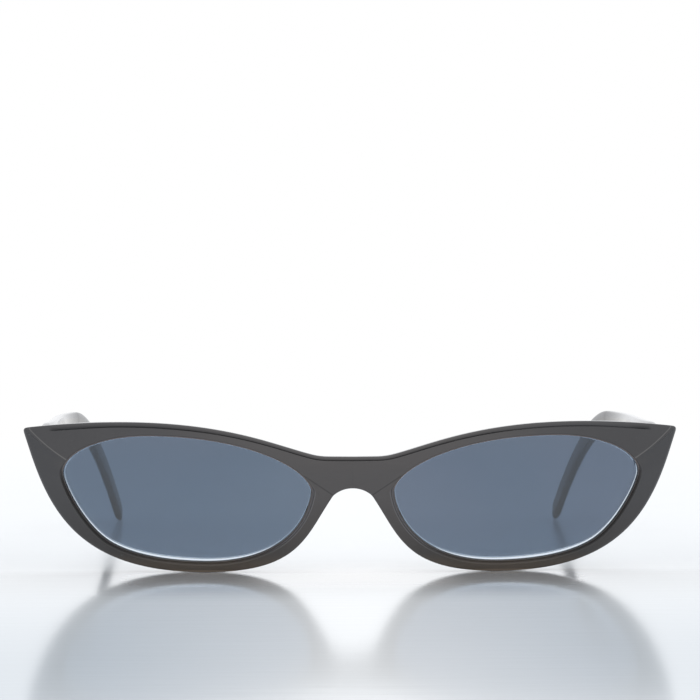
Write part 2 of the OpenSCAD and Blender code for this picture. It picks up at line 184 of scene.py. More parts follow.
# curve, stations, place on the opening from and to, how it runs, the brow's bevel or not
STRETCHES = [
    (straight(BRIDGE_TOP, BROW_START), 12, 0.31, 0.37, 1, True),
    (part_of(BROW, 0, 0.75), 60, 0.37, 1, 1, True),
    (part_of(BROW, 0.75, 1), 34, 1, 1.8, 1, True),
    (straight(RIDGE_END, TIP), 5, 1.8, 1.82, 1, True),
    (part_of(SIDE, 0, 0.5), 52, 1.82, 2.67, 1.6, False),
    (part_of(SIDE, 0.5, 1), 46, 2.67, 3.96, 1, False),
    (part_of(NOSE, 0, 0.75), 54, 3.96, 4.62, 1, False),
    (part_of(NOSE, 0.75, 1), 34, 4.62, 5.22, 1.3, False),
    (ARCH, 18, 5.22, 5.26, 1, False),
]
NEAR = np.array([0.06, 0.12, 0.2, 0.3])  # extra stations, in mm from both ends of a stretch
rim, place, on_brow = [], [], []
for points, steps, start, stop, power, brow in STRETCHES:
    near = NEAR / np.linalg.norm(points[3] - points[0])
    t = np.unique(np.concatenate([np.arange(steps) / steps, near, 1 - near]))
    rim.append(cubic(points, t))
    place.append(start + (stop - start) * t**power)
    on_brow.append(np.full(len(t), brow))

# The last stations climb the middle of the bridge, from the arch to its top
MIDDLE_Z = np.append(np.linspace(18.5, 22.8, 6), 23.17)
MIDDLE_PLACE, MIDDLE_RUN = 5.26, 0.05
rim.append(np.concatenate([[ARCH_TOP], np.stack([0 * MIDDLE_Z, MIDDLE_Z], 1)]))
middle_n = len(rim[-1])
place.append(MIDDLE_PLACE + MIDDLE_RUN * np.arange(middle_n) / middle_n)
on_brow.append(np.full(middle_n, False))

rim, place, on_brow = np.concatenate(rim), np.concatenate(place), np.concatenate(on_brow)
count = len(rim)
at_middle = rim[:, 0] < 1e-6
arc = np.concatenate([[0], np.cumsum(np.linalg.norm(np.diff(rim, axis=0), axis=1))])
print("stations in one half of the front:", count, "over", round(float(arc[-1]), 1), "mm")

# %% [markdown]
# ### Corners of the outline
# The outline has four corners: the tip, the end of its ridge, the start of the brow and the notch beside
# the nose. Moulded plastic has no knife edges, so all but the end of the ridge lie on small bends. A bevel
# tool could round them later, but then the lines that run parallel to the outline wouldn't follow.

# %% Bends at the corners
def unit(v):
    """Directions, made one long."""
    return v / np.maximum(np.linalg.norm(v, axis=-1, keepdims=True), 1e-9)


def station_near(point):
    """The number of the station that is nearest to a drawn point."""
    return int(np.argmin(np.linalg.norm(rim - point, axis=1)))


def inward_of(points):
    """The inward direction at each station, lengthened at bends so that offset lines stay parallel,
    and the angle by which the outline turns there."""
    ahead, behind = unit(np.roll(points, -1, 0) - points), unit(points - np.roll(points, 1, 0))
    n1, n2 = [np.stack([d[:, 1], -d[:, 0]], 1) for d in (behind, ahead)]
    cosine = (n1 * n2).sum(1)
    return (n1 + n2) / (1 + cosine[:, None]), np.arccos(np.clip(cosine, -1, 1))


def round_corner(points, k, reach):
    """Lays the stations within reach of corner k on a smooth bend."""
    away = arc - arc[k]
    a, b = [
        np.array([np.interp(arc[k] + d, arc, points[:, i]) for i in (0, 1)])
        for d in (-reach, reach)
    ]
    s = ((away + reach) / (2 * reach))[:, None]
    bend = (1 - s) ** 2 * a + 2 * s * (1 - s) * points[k] + s**2 * b
    return np.where(np.abs(away)[:, None] < reach, bend, points)


tip_at, notch_at, brow_at = [station_near(corner) for corner in (TIP, NOTCH, BROW_START)]
sharp_inner, turn = inward_of(rim)
mitre, tip_turn, tip_point = sharp_inner[tip_at], turn[tip_at], rim[tip_at].copy()
for corner, reach in ((tip_at, 1.0), (notch_at, 0.5), (brow_at, 1.6)):
    rim = round_corner(rim, corner, reach)
inner, _ = inward_of(rim)
inner[at_middle] = 0
inner[0], inner[count - middle_n] = (0, -1), (0, 1)
from_tip = np.abs(arc - arc[tip_at])
SMALL_INSET = 0.25  # up to this inset the lines keep the tip's own rounding


def inset(r):
    """The outline moved inward by r. Past the tip's own rounding both sides meet in one point."""
    r = np.broadcast_to(np.asarray(r, float), (count,))
    p = rim + r[:, None] * inner
    meet = (r > SMALL_INSET) & (from_tip < r * math.tan(tip_turn / 2))
    p[meet] = tip_point + r[tip_at] * mitre
    return p


print("the tip turns by", round(math.degrees(tip_turn)), "degrees")

# %% [markdown]
# ## The profile at each station
# Cut across, the front has a sloping lip that frames the lens with a fine bead round it, a face that
# falls towards the outline, a cut line under the brow's bevel, a rounded edge and a soft back with
# moulded nose pads. Fine lines could be painted on, but modelled ones catch the light from every side.
# The depths repeat the rules of the solid, and only the fine lines and rounds are new.

# %% Depths and widths along the front
PAD_SIDE, PAD_FOOT, PAD_HEAD = 16.5, (2.2, 6.8), (10.6, 15)
BROAD, BROADER_FROM, BROADER_BY = 3.5, 45, 0.25
BRIDGE_HALF_W, BRIDGE_Z, BRIDGE_HALF_H = 11, 20.645, 2.645
CUT_END = (62.6, 63.5)
EDGE_BEVEL, EDGE_FALL = 0.4, 0.22
FREE = 0.03  # by this the skins stay back where a hinge leaf lies flush in the plastic

edge, out = opening_point(place), opening_out(place)
x, z = rim[:, 0], rim[:, 1]
pad = np.where(x > PAD_SIDE, 0, ease(z, *PAD_FOOT) * (1 - ease(z, *PAD_HEAD)))
broadest = BROAD + BROADER_BY * np.maximum(0, x - BROADER_FROM)
width = np.minimum(np.linalg.norm(rim - edge, axis=1), broadest)
face_fall = (0.35 + 0.1 * width) * (0.5 + 0.5 * ease(x, 0, BRIDGE_HALF_W))
from_bridge = (z - BRIDGE_Z) / BRIDGE_HALF_H
down_middle = at_middle & (np.abs(inner).sum(1) == 0)
face_fall = np.where(down_middle, 0.12 + 0.24 * from_bridge**2, face_fall)
brow_bevel = 0.86 + 0.16 * ease(x, 12, 36) + 0.16 * ease(x, 48, 60) - 0.78 * ease(x, 64, 67)
bevel = np.where(on_brow, brow_bevel, EDGE_BEVEL)
bevel_fall = np.where(on_brow, 0.6 - 0.38 * ease(x, 62, 66.5), EDGE_FALL)
cut = on_brow * (1 - ease(x, *CUT_END))
upward = ease(out[:, 1], -0.1, 0.6)  # 1 over the lens, 0 beside and below it
lip = (0.95 - 0.55 * upward)[:, None]
deep = 1 - upward
soft = 0.45 + 0.5 * pad
print("brow edge to lens, mm:", round(float(width.min()), 2), "to", round(float(width.max()), 2))


# %% Points of the profile
EDGE_CHAMFER = 0.14
CUT_DEEP, BEAD_SWELL = 0.2, 0.55
RIDGE_BEND, RIDGE_REACH = 0.35, 2.5  # how far, and over what length, the way beside the ridge is bent


def at_depth(p, depth):
    """Drawn points, set behind the face by depth."""
    return np.stack([p[:, 0], face_y(p) + depth, p[:, 1]], 1)


def on_back(p, lift):
    """Drawn points on the back of the front, lift in front of it."""
    depth = face_y(p) + RIM_T + PAD_DEEP * pad
    end = ease(p[:, 0], 49, 57) * ease(p[:, 1], 11, 16)
    return np.stack([p[:, 0], depth + (END_Y - FREE - depth) * end - lift, p[:, 1]], 1)


def along(a, b, d, most=0.4):
    """The point at distance d from a towards b, but no more than the share most of the way."""
    return a + unit(b - a) * np.minimum(d, most * np.linalg.norm(b - a, axis=1))[:, None]


def deeper(p, depth):
    """Points in space, moved back by depth."""
    return p + np.stack([0 * depth, depth, 0 * depth], 1)


lip_out = at_depth(edge + lip * out, 0)
bevel_in = at_depth(inset(bevel), face_fall)
bevel_out = at_depth(inset(EDGE_CHAMFER), face_fall + bevel_fall)
ridge_at = station_near(RIDGE_END)
ridge_x, ridge_z = unit(bevel_in[ridge_at] - lip_out[ridge_at])[[2, 0]] * [1, -1]
by_ridge = RIDGE_BEND * np.exp(-(((arc - arc[ridge_at]) / RIDGE_REACH) ** 2))


def on_face_line(share):
    """A point on the way from the lip to the brow. Beside the ridge the way is a little bent."""
    p = lip_out * (1 - share) + bevel_in * share
    p = p + (4 * share * (1 - share) * by_ridge)[:, None] * np.array([ridge_x, 0, ridge_z])
    return at_depth(p[:, [0, 2]], face_fall * share)


def on_brow_bead(share):
    """A point of the brow's rolled edge, which swells where the cut line is."""
    swell = BEAD_SWELL * cut * share * (1 - share)
    return deeper(bevel_in * (1 - share) + bevel_out * share, -swell)


# name, points, radius of the rounding
corners = [
    ("seat", at_depth(edge, 1.1), 0.0),
    ("lip", at_depth(edge + 0.16 * lip * out, 0.3 + 0.2 * deep), 0.03),
    ("lip_bead", at_depth(edge + 0.32 * lip * out, 0.2 + 0.16 * deep), 0.04),
    ("lip_mid", at_depth(edge + 0.56 * lip * out, 0.12 + 0.36 * deep), 0.06),
    ("lip", at_depth(edge + 0.86 * lip * out, 0.03 + 0.07 * deep), 0.05),
    ("lip_out", lip_out, 0.05),
    *[("face", on_face_line(s), 0.0) for s in np.linspace(0.08, 0.92, 9)],
    ("bevel_low", along(bevel_in, lip_out, 0.1), 0.02),
    ("groove", deeper(bevel_in, CUT_DEEP * cut), 0.04),
    ("bead_low", on_brow_bead(0.3), 0.1),
    ("bead_high", on_brow_bead(0.65), 0.1),
    ("bevel_out", bevel_out, 0.08),
    ("rim_edge", at_depth(rim, face_fall + bevel_fall + EDGE_CHAMFER), 0.08),
    ("back", on_back(rim, soft), 0.3),
    ("back", on_back(inset(soft), 0 * soft), 0.3),
    ("back", on_back(edge + 0.9 * out, 0 * soft), 0.3),
    ("back", on_back(edge + 0.15 * out, 0 * soft + 0.45), 0.15),
    ("back", at_depth(edge + 0.15 * out, 3.0), 0.0),
    ("back", at_depth(edge + 1.1 * out, 2.05), 0.0),
]
print("corners of the profile:", len(corners))

# %% [markdown]
# ## From profiles to the front's skin
# A sharp corner would look cut from card. A bevel modifier could round all edges alike, but here each
# corner of the profile gets an arc of its own radius, with a supporting line beside it that keeps the
# flats flat. Rings of points become one closed band of faces. Faces that would lie inside, on the middle
# plane, are left out, the other half is mirrored and both are welded.

# %% Helpers for meshes
QUARTERS = (0, 0.25, 0.5, 0.75)
SUPPORT = 0.04  # from an arc to the line beside it
ROUND_MOST, HELD_MOST = 0.42, 0.47  # shares of the way to the next corner
WELD, NO_LENGTH = 2e-6, 1e-7


def soften(corner_list):
    """Rows of points with every corner rounded, and for each row the name of its corner."""
    rows, source = [], []
    for k, (name, p, radius) in enumerate(corner_list):
        if radius == 0:
            rows.append(p)
            source.append(name)
            continue
        ways = [corner_list[k - 1][1] - p, corner_list[(k + 1) % len(corner_list)][1] - p]
        lengths = [np.linalg.norm(way, axis=1, keepdims=True) for way in ways]
        start, stop = [p + unit(w) * np.minimum(radius, ROUND_MOST * l) for w, l in zip(ways, lengths)]
        held = [p + unit(w) * np.minimum(radius + SUPPORT, HELD_MOST * l) for w, l in zip(ways, lengths)]
        arc_rows = [(1 - s) ** 2 * start + 2 * s * (1 - s) * p + s * s * stop for s in (*QUARTERS, 1)]
        rows += [held[0], *arc_rows, held[1]]
        source += [name] * (len(arc_rows) + 2)
    return np.array(rows), np.array(source)


def band_faces(rows, n):
    """Squares between neighbouring rings of n points, the last ring joining the first."""
    a = np.arange(rows)[:, None]
    i = np.arange(n)[None, :]
    b, j = (a + 1) % rows, (i + 1) % n
    return np.stack([b * n + i, b * n + j, a * n + j, a * n + i], -1).reshape(-1, 4)


def tidy_mesh(mesh):
    """Welds a mesh, turns its faces outward and shades it smooth."""
    bm = bmesh.new()
    bm.from_mesh(mesh)
    bmesh.ops.remove_doubles(bm, verts=bm.verts, dist=WELD)
    bmesh.ops.dissolve_degenerate(bm, dist=NO_LENGTH, edges=bm.edges)
    bmesh.ops.recalc_face_normals(bm, faces=bm.faces)
    if bm.calc_volume(signed=True) < 0:
        bmesh.ops.reverse_faces(bm, faces=bm.faces)
    for face in bm.faces:
        face.smooth = True
    odd_edges = sum(len(e.link_faces) != 2 for e in bm.edges)
    bm.to_mesh(mesh)
    bm.free()
    counts = f"{len(mesh.vertices)} points, {len(mesh.polygons)} faces"
    print(f"{mesh.name}: {counts}, {odd_edges} edges without exactly two faces")


def make_mesh(name, points, faces, marks):
    """A tidied mesh; marks are values stored on its points."""
    mesh = bpy.data.meshes.new(name)
    mesh.from_pydata(points.tolist(), [], faces)
    for mark, values in marks.items():
        attribute = mesh.attributes.new(mark, "FLOAT", "POINT")
        attribute.data.foreach_set("value", values.astype(np.float32))
    tidy_mesh(mesh)
    return mesh


rows, source = soften(corners)
print("rows round the profile:", len(rows))

# %% [markdown]
# ### Marks for painted light and shade
# On the real front light and shade follow the lines of the moulding, so painted shade and painted
# highlights follow them here. A texture could be painted, but values stored on the points are exact and
# move with the shape. Each one marks a line: the cut line under the brow, the ridge to the tip, the
# valley to the notch, the lips round the lens and the edge.

# %% Marks and the front
FACE_NAMES = ["lip_out", "face", "bevel_low", "groove", "bead_low", "bead_high"]
RIDGE_WIDE, VALLEY_WIDE = 0.11, 0.13
face_rows = np.isin(source, FACE_NAMES)


def row_mark(values):
    """A mark given by the names of the corners, the same all along the front."""
    return np.array([values.get(name, 0.0) for name in source])[:, None] * np.ones(count)


def line_mark(k, wide):
    """1 on the crease of station k, fading over that width to its sides."""
    line = rows[face_rows, k][:, [0, 2]]
    line = np.concatenate([line[:-1] * (1 - s) + line[1:] * s for s in QUARTERS])
    off = np.linalg.norm(rows[:, :, None, [0, 2]] - line, axis=3).min(axis=2)
    return np.where(face_rows[:, None], np.exp(-((off / wide) ** 2)), 0)


outward = out[:, 0]
# Painted shade on the outer lip, and a painted highlight on the lip above the lens and at its sides
painted_lip_shade = (0.3 + 0.7 * ease(outward, 0.0, 0.7)) * deep * ease(place, 1.85, 2.3)
lip_light = 0.15 * deep * np.abs(outward) + 0.9 * upward
# Each mark carries painted light or shade: shade in the cut line, the valley and on the lip; highlights on
# the ridge, beside the nose, on the lip line and on the edge
marks = {
    "groove": row_mark({"groove": 1.0, "bead_low": 0.8, "bead_high": 0.35}) * cut,
    "ridge": line_mark(ridge_at, RIDGE_WIDE),
    "valley": line_mark(notch_at, VALLEY_WIDE) * (rows[:, :, 0] > NOTCH[0]),
    "lip": row_mark({"seat": 1.0, "lip": 1.0, "lip_mid": 1.0, "lip_bead": 0.75}) * painted_lip_shade,
    "nose_highlight": row_mark({"lip_mid": 1.0, "lip_out": 0.7}) * ease(-outward, 0.3, 0.8) * deep,
    "lip_highlight": row_mark({"lip_bead": 1.0, "lip_mid": 0.3}) * lip_light,
    "rim_edge": row_mark({"rim_edge": 1.0}) * (0.3 + 0.6 * on_brow),
}
half = metres(rows.reshape(-1, 3))
quads = band_faces(len(rows), count)
on_middle = np.abs(half[:, 0]) < 1e-9
quads = quads[~on_middle[quads].all(1)]
half[on_middle, 0] = 0
points = np.concatenate([half, half * [-1, 1, 1]])
faces = np.concatenate([quads, quads[:, ::-1] + len(half)]).tolist()
both_halves = {name: np.tile(values.ravel(), 2) for name, values in marks.items()}
front_mesh = make_mesh("front_shell", points, faces, both_halves)

# %% [markdown]
# ## Lenses
# A real lens is a thin pane with a narrow polished bevel, and a ridge round it sits in the front's
# groove. It could be cut from a sphere, but rings round the opening follow the rim exactly: the polished
# field, a bevel whose width changes round the rim, the ridge and the back. A stored value marks the
# bevel, which stays clear because the tint is only on the field.

# %% Build the lenses
LENS_MIDDLE, LENS_FRONT, LENS_BACK = at(34, 16), 0.98, 2.87
RIDGE_OUT, RIDGE_FRONT, RIDGE_BACK = 1.0, 2.03, 2.13
LENS_POINTS = 300
FACET_AT = [0, 0.4, 0.8, 1.3, 1.9, 2.4, 2.9, 3.4, 3.8, 4.1, 4.4, 4.8, LAP]
FACET_WIDE = [0.08, 0.05, 0.04, 0.05, 0.26, 0.34, 0.48, 0.62, 0.68, 0.6, 0.22, 0.1, 0.08]
FIELD = [0.1, 0.22, 0.36, 0.5, 0.64, 0.77, 0.89]

dense = np.linspace(0, LAP, 4001)
run = np.concatenate([[0], np.cumsum(np.linalg.norm(np.diff(opening_point(dense), axis=0), axis=1))])
lens_u = np.interp(np.linspace(0, run[-1], LENS_POINTS + 1)[:-1], run, dense)
lens_edge, lens_out = opening_point(lens_u), opening_out(lens_u)
read_at = (lens_u, np.mod(lens_u + 0.08, LAP))
facet = np.mean([np.interp(u, FACET_AT, FACET_WIDE) for u in read_at], axis=0)
facet_fall = 0.05 + 0.22 * facet


def lens_ring(offset, depth, share=1.0):
    """A ring that lies offset outside the opening, drawn in towards the lens's middle by share."""
    p = lens_edge + np.broadcast_to(offset, lens_u.shape)[:, None] * lens_out
    return at_depth(LENS_MIDDLE + share * (p - LENS_MIDDLE), depth)


# ring, and 1 where the glass is clear
lens_rings = [(lens_ring(-facet - 0.1, LENS_FRONT, s), 0) for s in FIELD]
lens_rings += [
    (lens_ring(-facet - 0.1, LENS_FRONT), 0),
    (lens_ring(-facet - 0.02, LENS_FRONT), 0),
    (lens_ring(-facet, LENS_FRONT + 0.005), 1),
    (lens_ring(-0.85 * facet, LENS_FRONT + 0.15 * facet_fall), 1),
    (lens_ring(-0.1 * facet, LENS_FRONT + 0.9 * facet_fall), 1),
    (lens_ring(0.03, LENS_FRONT + 0.01 + facet_fall), 1),
    (lens_ring(RIDGE_OUT, RIDGE_FRONT), 1),
    (lens_ring(RIDGE_OUT, RIDGE_BACK), 1),
    (lens_ring(0.05, LENS_BACK), 1),
    (lens_ring(-0.75 * facet, LENS_BACK), 1),
    (lens_ring(-0.75 * facet - 0.02, LENS_BACK), 0),
    (lens_ring(-facet - 0.3, LENS_BACK), 0),
]
lens_rings += [(lens_ring(-facet - 0.3, LENS_BACK, s), 0) for s in FIELD[::-1]]
poles = [at_depth(LENS_MIDDLE[None], depth) for depth in (LENS_FRONT, LENS_BACK)]
lens_points = np.concatenate([ring for ring, _ in lens_rings] + poles)
clear = np.append(np.repeat([float(is_clear) for _, is_clear in lens_rings], LENS_POINTS), [0.0, 0.0])
first = np.arange(len(lens_rings) - 1)[:, None] * LENS_POINTS
i, j = np.arange(LENS_POINTS), (np.arange(LENS_POINTS) + 1) % LENS_POINTS
squares = np.stack([first + i, first + j, first + LENS_POINTS + j, first + LENS_POINTS + i], -1)
lens_faces = squares.reshape(-1, 4).tolist()
last = (len(lens_rings) - 1) * LENS_POINTS
front_pole, back_pole = len(lens_points) - 2, len(lens_points) - 1
for a, b in zip(i, j):
    lens_faces += [[front_pole, b, a], [back_pole, last + a, last + b]]
print("lens bevel, mm:", round(float(facet.min()), 2), "to", round(float(facet.max()), 2))

# %% [markdown]
# ## Building nodes with few words
# The temples are formed by Geometry Nodes and every finish by shader nodes. Nodes could be placed and
# linked one by one, but long sums are hard to read that way. So one small class wraps a socket and lets
# sums be written as sums, and one function adds any other node.

# %% Helpers for node trees
class Num:
    """A socket of a node tree that can be used in sums."""

    def __init__(self, tree, socket):
        self.tree, self.socket = tree, socket

    def op(self, operation, *others, first=None):
        """A Math node on this value and others, or on first and this value."""
        node = self.tree.nodes.new("ShaderNodeMath")
        node.operation = operation
        values = (self, *others) if first is None else (first, self)
        for target, value in zip(node.inputs, values):
            put(self.tree, target, value)
        return Num(self.tree, node.outputs[0])

    def __add__(self, other):
        return self.op("ADD", other)

    def __mul__(self, other):
        return self.op("MULTIPLY", other)

    def __sub__(self, other):
        return self.op("SUBTRACT", other)

    def __rsub__(self, other):
        return self.op("SUBTRACT", first=other)

    def __truediv__(self, other):
        return self.op("DIVIDE", other)

    def __pow__(self, other):
        return self.op("POWER", other)

    __radd__, __rmul__ = __add__, __mul__

    def at_least(self, lowest):
        return self.op("MAXIMUM", lowest)

    def at_most(self, highest):
        return self.op("MINIMUM", highest)

    def unsigned(self):
        return self.op("ABSOLUTE")


def put(tree, target, value):
    """Links a wrapped socket to an input, or sets the input to a plain value."""
    if isinstance(value, Num):
        tree.links.new(value.socket, target)
    else:
        target.default_value = value


def add(tree, kind, settings=None, inputs=None, output=0):
    """A new node: its settings first, then values or links for its inputs.
    Returns one output, or a list of them where output is a tuple."""
    node = tree.nodes.new(kind)
    for name, value in (settings or {}).items():
        setattr(node, name, value)
    for key, value in (inputs or {}).items():
        put(tree, node.inputs[key], value)
    if isinstance(output, tuple):
        return [Num(tree, node.outputs[key]) for key in output]
    return Num(tree, node.outputs[output])


def smooth(v, a, b):
    """0 below a, 1 above b, eased between them."""
    keys = {"Value": v, "From Min": a, "From Max": b}
    return add(v.tree, "ShaderNodeMapRange", {"interpolation_type": "SMOOTHSTEP"}, keys)


def axes(tree, spot):
    """The three numbers of a place."""
    return add(tree, "ShaderNodeSeparateXYZ", None, {"Vector": spot}, ("X", "Y", "Z"))


print("a socket can now be added, subtracted, multiplied, divided and raised to a power")

# %% [markdown]
# ## Temples by Geometry Nodes
# A temple is the arm that reaches over the ear. Its section is flat inside and rounded outside. It
# travels back along the side of the head, grows slimmer, bows outward, then drops behind the ear. A curve
# with a bevel could carry one fixed section, but this one changes on the way. So a grid is bent by the
# rule: its x runs round the section and its y along the temple. Both sides use the same tree.

# %% Inputs of the temple tree, and its grid
SIZES = {
    "Side": 1.0,
    "Thickness": 2.7,
    "Root height": 11.4,
    "Height": 4.8,
    "Outward bow": 2.3,
    "Tip inset": 6.1,
    "Reach": 131.4,
}
CAP_ROWS, STRAIGHT_ROWS, BEND_ROWS, AROUND = 3, 64, 72, 56
all_rows = CAP_ROWS + STRAIGHT_ROWS + BEND_ROWS
form = bpy.data.node_groups.new("temple_form", "GeometryNodeTree")
form.interface.new_socket("Geometry", in_out="OUTPUT", socket_type="NodeSocketGeometry")
size_keys = {}
for name, value in SIZES.items():
    socket = form.interface.new_socket(name, in_out="INPUT", socket_type="NodeSocketFloat")
    socket.default_value = value
    size_keys[name] = socket.identifier
size = dict(zip(SIZES, add(form, "NodeGroupInput", None, None, tuple(SIZES))))
grid_keys = {"Size X": 1.0, "Size Y": 1.0, "Vertices X": AROUND + 1, "Vertices Y": all_rows + 1}
grid = add(form, "GeometryNodeMeshGrid", None, grid_keys)
grid_x, grid_y, _ = axes(form, add(form, "GeometryNodeInputPosition"))
angle = (grid_x + 0.5) * math.tau
row = ((grid_y + 0.5) * all_rows).op("ROUND")
print("temple grid:", AROUND, "points round", all_rows, "rows")

# %% Rows that close the root, and the straight stretch
BUTT_GAP = 0.3  # between the front and the temple's root
ARM_START, ARM_INNER, ARM_TOP = END_Y + BUTT_GAP, 64.0, 30.6
STRAIGHT, TURN, SLOPE, TOP_RISE = 70.0, 16.0, 0.14, 0.4
SLIM_FROM, SLIM_TO = 11.0, 50.0
ROOT_CUT, CUT_OVER = 2.6, (-4.0, 9.0)
ROOT_DIP, DIP_OVER = 0.8, (0.0, 8.0)
BEND_PACKING = 1.25  # above 1 the rows of the bend lie closer together towards its end

# The first rows close the root with a flat, softly edged end
step_1, step_2, step_3 = [(row - k).at_least(0.0).at_most(1.0) for k in range(CAP_ROWS)]
root_scale = 0.93 * step_1 + 0.055 * step_2 + 0.015 * step_3
root_back = 0.06 * step_2 + 0.14 * step_3

# How far along the straight stretch (0 to 1) and along the bend (t, 0 to 1) a row lies
t_straight = ((row - CAP_ROWS) / STRAIGHT_ROWS).at_least(0.0).at_most(1.0)
t_row = ((row - (CAP_ROWS + STRAIGHT_ROWS)) / BEND_ROWS).at_least(0.0)
t = 1 - (1 - t_row).at_least(0.0) ** BEND_PACKING
in_bend = t_row.op("GREATER_THAN", 1e-6)

# Distance along the straight stretch, half height, inner face and middle height
d = t_straight * STRAIGHT
height = size["Root height"] + (size["Height"] - size["Root height"]) * smooth(d, SLIM_FROM, SLIM_TO)
root_dip = ROOT_DIP * (1 - smooth(d, *DIP_OVER))
half_height = (height - ROOT_CUT * (1 - smooth(d, *CUT_OVER)) - root_dip) * 0.5
turned = (d - (STRAIGHT - TURN)).at_least(0.0)
bowed = ARM_INNER + size["Outward bow"] * smooth(d, SLIM_FROM, STRAIGHT - TURN)
inner_face = bowed - turned * turned * (SLOPE / 2 / TURN)
straight_z = ARM_TOP + TOP_RISE * t_straight - root_dip - half_height
straight_y = d + ARM_START + root_back * (1 - in_bend)
print("straight stretch:", STRAIGHT, "mm in", STRAIGHT_ROWS, "rows")

# %% Ear bend
LEAD = 14
TIP_OUT, TIP_FORWARD, TIP_UP, TIP_Z = 3.0, 12.0, 15.4, 0.478


def blend(values, shares):
    """The sum of the values, each times its share."""
    total, *terms = [share * value for value, share in zip(values, shares)]
    for term in terms:
        total = total + term
    return total


# A cubic curve in space, and its tangent seen from the side
bend_top = ARM_TOP + TOP_RISE - size["Height"] * 0.5
bend_x = ARM_INNER + size["Outward bow"] - SLOPE * TURN / 2
bend_y = ARM_START + STRAIGHT
end_x = ARM_INNER - size["Tip inset"]
xs = [bend_x, bend_x - LEAD * SLOPE, end_x + TIP_OUT, end_x]
ys = [bend_y, bend_y + LEAD, size["Reach"] - TIP_FORWARD, size["Reach"]]
zs = [bend_top, bend_top, TIP_Z + TIP_UP, TIP_Z]
r = 1 - t
weights = [r * r * r, 3 * r * r * t, 3 * r * t * t, t * t * t]
slopes = [r * r, 2 * r * t, t * t]
curve_x, curve_y, curve_z = [blend(v, weights) for v in (xs, ys, zs)]
dy, dz = [blend([b - a for a, b in zip(v, v[1:])], slopes) for v in (ys, zs)]
length = (dy * dy + dz * dz) ** 0.5
up_y, up_z = in_bend * (-1 * dz / length), 1 - in_bend * (1 - dy / length)


def either(a, b):
    """a on the straight stretch, b in the bend."""
    return a + in_bend * (b - a)


middle_x, middle_y = either(inner_face, curve_x), either(straight_y, curve_y)
middle_z = either(straight_z, curve_z)
print("ear bend:", BEND_ROWS, "rows")

# %% Section, and the end of the tree
CLOSE_FROM = 0.93
SQUARE_UP, SQUARE_IN, ROUNDER_OUT = 0.7, 0.4, 0.35  # powers: 1 gives an oval, less a squarer section
ROOT_THIN, THIN_OVER, TIP_SLENDER = 0.3, (2.4, 5.7), 0.15
half_tall = either(half_height, size["Height"] * 0.5)
closing = ((t - CLOSE_FROM) / (1 - CLOSE_FROM)).at_least(0.0)
scale = root_scale * (1 - closing * closing).at_least(0.0) ** 0.5

# Flatter inside, rounder outside, thinner below the middle at the root
sine, cosine = angle.op("SINE"), angle.op("COSINE")
outside = cosine.op("GREATER_THAN", 0.0)
up_down = sine.op("SIGN") * sine.unsigned() ** SQUARE_UP
in_out = cosine.op("SIGN") * cosine.unsigned() ** (SQUARE_IN + ROUNDER_OUT * outside)
thin = outside * (ROOT_THIN * smooth(half_tall, *THIN_OVER)) * (1 - up_down)
slender = 1 - TIP_SLENDER * in_bend * smooth(t, 0.0, 0.4)
across = size["Thickness"] * slender * 0.5 * (1 + scale * in_out * (1 - thin))
lift = up_down * scale * half_tall
inlay = FREE * (1 - outside) * smooth(scale, 0.0, 0.5)
point_keys = {
    "X": (middle_x + across + inlay) * size["Side"] * (1 / MM_PER_M),
    "Y": (middle_y + lift * up_y + SHIFT_Y) * (1 / MM_PER_M),
    "Z": (middle_z + lift * up_z) * (1 / MM_PER_M),
}
point = add(form, "ShaderNodeCombineXYZ", None, point_keys)
shaped = add(form, "GeometryNodeSetPosition", None, {"Geometry": grid, "Position": point})
welded = add(form, "GeometryNodeMergeByDistance", None, {"Geometry": shaped, "Distance": WELD})
real = add(form, "GeometryNodeRealizeInstances", None, {"Geometry": welded})
painted = add(form, "GeometryNodeSetMaterial", None, {"Geometry": real})
add(form, "NodeGroupOutput", None, {0: painted}, ())
print("temple tree:", len(form.nodes), "nodes")


# %% Run the temple tree
def temple_mesh(name, side, material):
    """Runs the tree for one side and returns the finished mesh."""
    painted.socket.node.inputs["Material"].default_value = material
    carrier = bpy.data.objects.new(name + "_form", bpy.data.meshes.new(name + "_form"))
    scene.collection.objects.link(carrier)
    modifier = carrier.modifiers.new("form", "NODES")
    modifier.node_group = form
    modifier[size_keys["Side"]] = side
    made = carrier.evaluated_get(bpy.context.evaluated_depsgraph_get())
    mesh = bpy.data.meshes.new_from_object(made)
    mesh.name = name
    carrier.modifiers.remove(modifier)
    bpy.data.objects.remove(carrier)
    tidy_mesh(mesh)
    return mesh


print("sizes that the temple tree takes:", ", ".join(size_keys))

# %% [markdown]
# ## Finishes
# Every finish is made of a few patterns: cloudy colour, fine lines, grains of dust and values stored on
# the mesh. Pictures could do that too, but patterns from nodes are sharp at any distance. They read
# object coordinates, so they sit still on the piece when it moves.

# %% Helpers for finishes
MIX_A, MIX_B, MIX_RESULT = 6, 7, 2  # the colour sockets of a Mix node


def new_finish(name):
    """A new material with an empty tree."""
    material = bpy.data.materials.new(name)
    material.use_nodes = True
    material.node_tree.nodes.clear()
    return material, material.node_tree


def principled(tree, inputs):
    """The general surface shader, with values or links for its inputs."""
    return add(tree, "ShaderNodeBsdfPrincipled", None, inputs)


def surface(tree, shader):
    """Makes a shader the surface of its material."""
    add(tree, "ShaderNodeOutputMaterial", None, {"Surface": shader}, ())


def object_spot(tree):
    """The place on the piece in metres, which moves with it."""
    return add(tree, "ShaderNodeTexCoord", None, None, "Object")


def noise(tree, spot, scale, detail=3.0, rough=0.5):
    keys = {"Vector": spot, "Scale": scale, "Detail": detail, "Roughness": rough}
    return add(tree, "ShaderNodeTexNoise", None, keys)


def blend_colour(tree, share, a, b):
    """Colour a where share is 0, colour b where it is 1."""
    a, b = [(*colour, 1) if isinstance(colour, tuple) else colour for colour in (a, b)]
    settings = {"data_type": "RGBA", "clamp_factor": True}
    return add(tree, "ShaderNodeMix", settings, {0: share, MIX_A: a, MIX_B: b}, MIX_RESULT)


